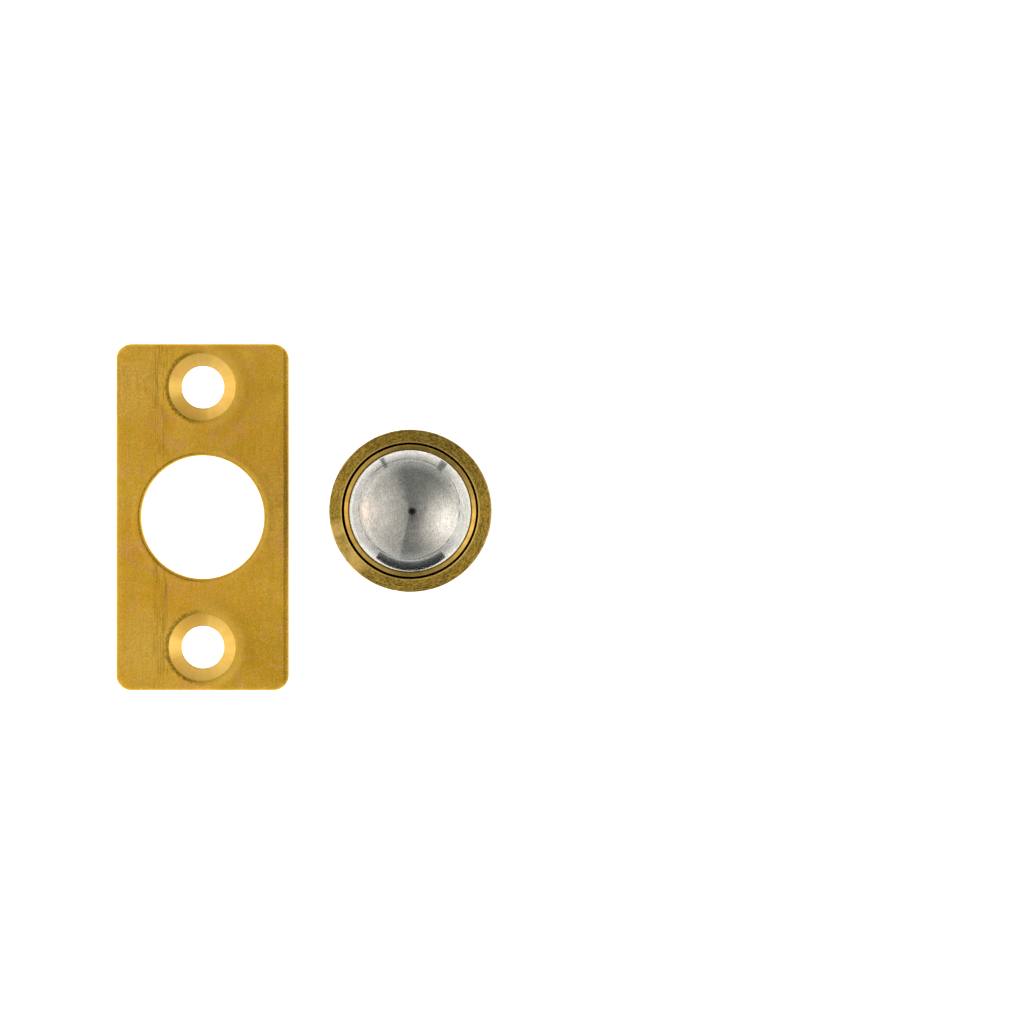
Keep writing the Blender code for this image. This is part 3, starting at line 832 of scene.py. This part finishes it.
def make_floor():
    bm = bmesh.new()
    bmesh.ops.create_circle(bm, cap_ends=True, segments=96, radius=2.0)
    mesh = bpy.data.meshes.new("floor")
    bm.to_mesh(mesh)
    bm.free()
    floor = bpy.data.objects.new("floor", mesh)
    floor.location.z = -0.00002
    bpy.context.scene.collection.objects.link(floor)
    m, s = new_material("floor_white")
    d = s.node("ShaderNodeBsdfDiffuse")
    d.inputs["Color"].default_value = (0.86, 0.86, 0.85, 1)
    e = s.node("ShaderNodeEmission")
    e.inputs["Color"].default_value = (1.0, 0.99, 0.975, 1)
    reach = s.vec("LENGTH", s.place())
    # painted shadow: the floor's glow is turned down under the barrel's foot, and under the plate, a little past its
    # edges and in its holes
    painted_shadow_level = s.span(reach, 6.8, 8.3, 0.30, 1.0)
    fx, fy, _ = s.xyz(s.place())
    px, py = s.math("SUBTRACT", fx, PLATE[0]), s.math("SUBTRACT", fy, PLATE[1])
    out_x = s.math("SUBTRACT", s.math("ABSOLUTE", px), PLATE_W / 2)
    out_y = s.math("SUBTRACT", s.math("ABSOLUTE", py), PLATE_L / 2)
    clear_of = s.math("MULTIPLY", s.math("MAXIMUM", out_x, out_y), -1.0)
    for cy, radius in ((0.0, STRIKE_R), (SCREW_Y, SCREW_R), (-SCREW_Y, SCREW_R)):
        gap = s.math("SUBTRACT", s.vec("DISTANCE", s.join(px, py, 0.0), (0.0, cy, 0.0)), radius)
        clear_of = s.math("MINIMUM", clear_of, gap)
    painted_shadow_level = s.math("MINIMUM", painted_shadow_level, s.span(clear_of, 0.20, 0.60, 1.0, 0.30))
    s.put(e.inputs["Strength"], s.math("MULTIPLY", painted_shadow_level, s.span(reach, 34.0, 52.0, 0.83 * LIGHT, 0.66 * LIGHT)))
    add = s.node("ShaderNodeAddShader")
    s.put(add.inputs[0], d.outputs[0])
    s.put(add.inputs[1], e.outputs[0])
    clear = s.node("ShaderNodeBsdfTransparent")
    side = s.node("ShaderNodeNewGeometry")
    pick = s.node("ShaderNodeMixShader")
    s.put(pick.inputs[0], side.outputs["Backfacing"])
    s.put(pick.inputs[1], add.outputs[0])
    s.put(pick.inputs[2], clear.outputs[0])
    out = s.node("ShaderNodeOutputMaterial")
    s.put(out.inputs["Surface"], pick.outputs[0])
    mesh.materials.append(m)


def direction(azimuth, zenith):
    a, z = math.radians(azimuth), math.radians(zenith)
    return (math.sin(z) * math.cos(a), math.sin(z) * math.sin(a), math.cos(z))


def make_world():
    """A soft tent: a broad panel on the left, a brighter glow on the right, darker gaps to the front and rear."""
    world = bpy.data.worlds.new("studio")
    bpy.context.scene.world = world
    world.use_nodes = True
    s = Shade(world.node_tree)
    d = s.vec("NORMALIZE", s.node("ShaderNodeTexCoord").outputs["Generated"])
    x, y, z = s.xyz(d)
    flat = s.vec("NORMALIZE", s.join(x, y, 0.0))

    def lobe(axis, tight, amount):
        dot = s.vec("DOT_PRODUCT", d, direction(*axis))
        return s.math("MULTIPLY", s.math("EXPONENT", s.math("MULTIPLY", s.math("SUBTRACT", dot, 1.0), tight)), amount)

    def edge(azimuth, low, high):
        a = math.radians(azimuth)
        return s.span(s.vec("DOT_PRODUCT", flat, (math.cos(a), math.sin(a), 0.0)), low, high)

    panel = s.math("MULTIPLY", edge(168, -0.01, 0.05), edge(198, -0.25, 0.32))
    left = s.math("ADD", 0.12, s.math("ADD", lobe((182, 82), 2.3, 0.50), lobe((182, 48), 5.0, 0.17)))
    left = s.math("MULTIPLY", left, panel)
    right = lobe((-16, 66), 5.5, 1.28)
    gap = s.math("ADD", 0.205, s.span(z, 0.36, 0.0, 0.0, 0.24))
    total = s.vec("SCALE", (0.97, 1.0, 0.97), scale=gap)
    total = s.vec("ADD", total, s.vec("SCALE", (1.0, 0.95, 0.88), scale=left))
    total = s.vec("ADD", total, s.vec("SCALE", (1.0, 0.52, 0.33), scale=s.math("MULTIPLY", lobe((181, 80), 20.0, 0.38), panel)))
    total = s.vec("ADD", total, s.vec("SCALE", (1.0, 0.94, 0.88), scale=right))
    rim = s.math("SUBTRACT", 1.0, s.span(s.math("ABSOLUTE", s.math("SUBTRACT", z, 0.004)), 0.020, 0.008, 0.0, 0.30))
    total = s.vec("SCALE", total, scale=rim)
    shade = s.math("SUBTRACT", 1.0, lobe((-65, 9), 34.0, 0.34))
    total = s.vec("SCALE", total, scale=shade)
    below = s.span(z, -0.005, -0.02)
    total = s.mix(below, total, (0.40, 0.395, 0.385))
    total = s.vec("SCALE", total, scale=LIGHT)
    back = s.node("ShaderNodeBackground")
    s.put(back.inputs["Color"], total)
    out = s.node("ShaderNodeOutputWorld")
    s.put(out.inputs["Surface"], back.outputs[0])


def make_far_floor():
    """What the ball's edge mirrors beyond the lit middle of the table: duller paper, brighter to the sides."""
    bm = bmesh.new()
    rings = [
        [bm.verts.new((r * math.cos(math.tau * k / 96), r * math.sin(math.tau * k / 96), 0.0002)) for k in range(96)]
        for r in (0.044, 2.0)
    ]
    for k in range(96):
        bm.faces.new((rings[0][k], rings[1][k], rings[1][(k + 1) % 96], rings[0][(k + 1) % 96]))
    mesh = bpy.data.meshes.new("far_floor")
    bm.to_mesh(mesh)
    bm.free()
    obj = bpy.data.objects.new("far_floor", mesh)
    bpy.context.scene.collection.objects.link(obj)
    m, s = new_material("far_floor")
    r, cx, cy, z = polar(s, s.place())
    level = 1.10
    for a, b, drop in ((44.0, 57.0, 0.15), (57.0, 75.0, 0.19), (75.0, 95.0, 0.14)):
        level = s.math("SUBTRACT", level, s.span(r, a, b, 0.0, drop, smooth=False))
    for side, value in ((-1.0, 0.90), (1.0, 1.06)):
        facing = s.span(s.math("MULTIPLY", cx, side), 0.68, 0.92)
        level = s.math("ADD", level, s.math("MULTIPLY", s.math("SUBTRACT", value, level), facing))
    e = s.node("ShaderNodeEmission")
    warm = s.math("MULTIPLY", s.span(cx, -0.955, -0.995), s.span(r, 70.0, 130.0))
    s.put(e.inputs["Color"], s.mix(warm, (1.0, 0.99, 0.965), (1.08, 0.985, 0.92)))
    s.put(e.inputs["Strength"], s.math("MULTIPLY", level, LIGHT))
    out = s.node("ShaderNodeOutputMaterial")
    s.put(out.inputs["Surface"], e.outputs[0])
    mesh.materials.append(m)
    obj.visible_camera = False
    obj.visible_diffuse = False
    obj.visible_shadow = False
    obj.visible_transmission = False
    obj.visible_volume_scatter = False


def make_cards():
    # the dark front of the table, seen in the ball's lower edge
    a = math.radians(37)
    near, far = 34.5, 215.0
    emitter(
        "front_card",
        [(-near * math.tan(a), -near, 0.4), (near * math.tan(a), -near, 0.4), (far * math.tan(a), -far, 0.4), (-far * math.tan(a), -far, 0.4)],
        (0.85, 0.95, 1.0), 0.075,
        ramp=((34.5, 0.020), (50.0, 0.045), (70.0, 0.085), (140.0, 0.17), (215.0, 0.24)),
    )
    for name, azimuth, half in (("seam_left", 119.5, 2.1), ("seam_right", 55.5, 3.6)):
        pts = []
        for d, side in ((36, -1), (36, 1), (900, 1), (900, -1)):
            b = math.radians(azimuth + side * half)
            pts.append((d * math.cos(b), d * math.sin(b), 0.4))
        emitter(name, pts, (0.9, 1.0, 1.0), 0.27)
    for name, radius, height, colour, strength in (
        ("lens_card", 40.0, 505.0, (1.0, 0.8, 0.7), 0.012),
        ("hood_card", 62.0, 508.0, (1.0, 0.9, 0.8), 0.085),
    ):
        disc = [(30 + radius * math.cos(math.tau * k / 48), -7 + radius * math.sin(math.tau * k / 48), height) for k in range(48)]
        emitter(name, disc, colour, strength)


def make_camera():
    cam = bpy.data.cameras.new("camera")
    obj = bpy.data.objects.new("camera", cam)
    bpy.context.scene.collection.objects.link(obj)
    cam.sensor_width = 36.0
    cam.lens = 5250 * 36.0 / 1024
    obj.location = (9.38 * MM, -0.11 * MM, 501.0 * MM)
    obj.rotation_euler = (0, 0, 0)
    cam.clip_start, cam.clip_end = 0.01, 10.0
    bpy.context.scene.camera = obj


make_camera()
make_world()
make_floor()
make_far_floor()
make_cards()
make_barrel(aged_brass())
make_capsule(drawn_brass())
make_ball(polished_steel())
make_spring(spring_steel())
make_plate(rolled_brass())

scene = bpy.context.scene
scene.view_settings.view_transform = "Standard"
scene.view_settings.look = "None"

bpy.context.view_layer.update()
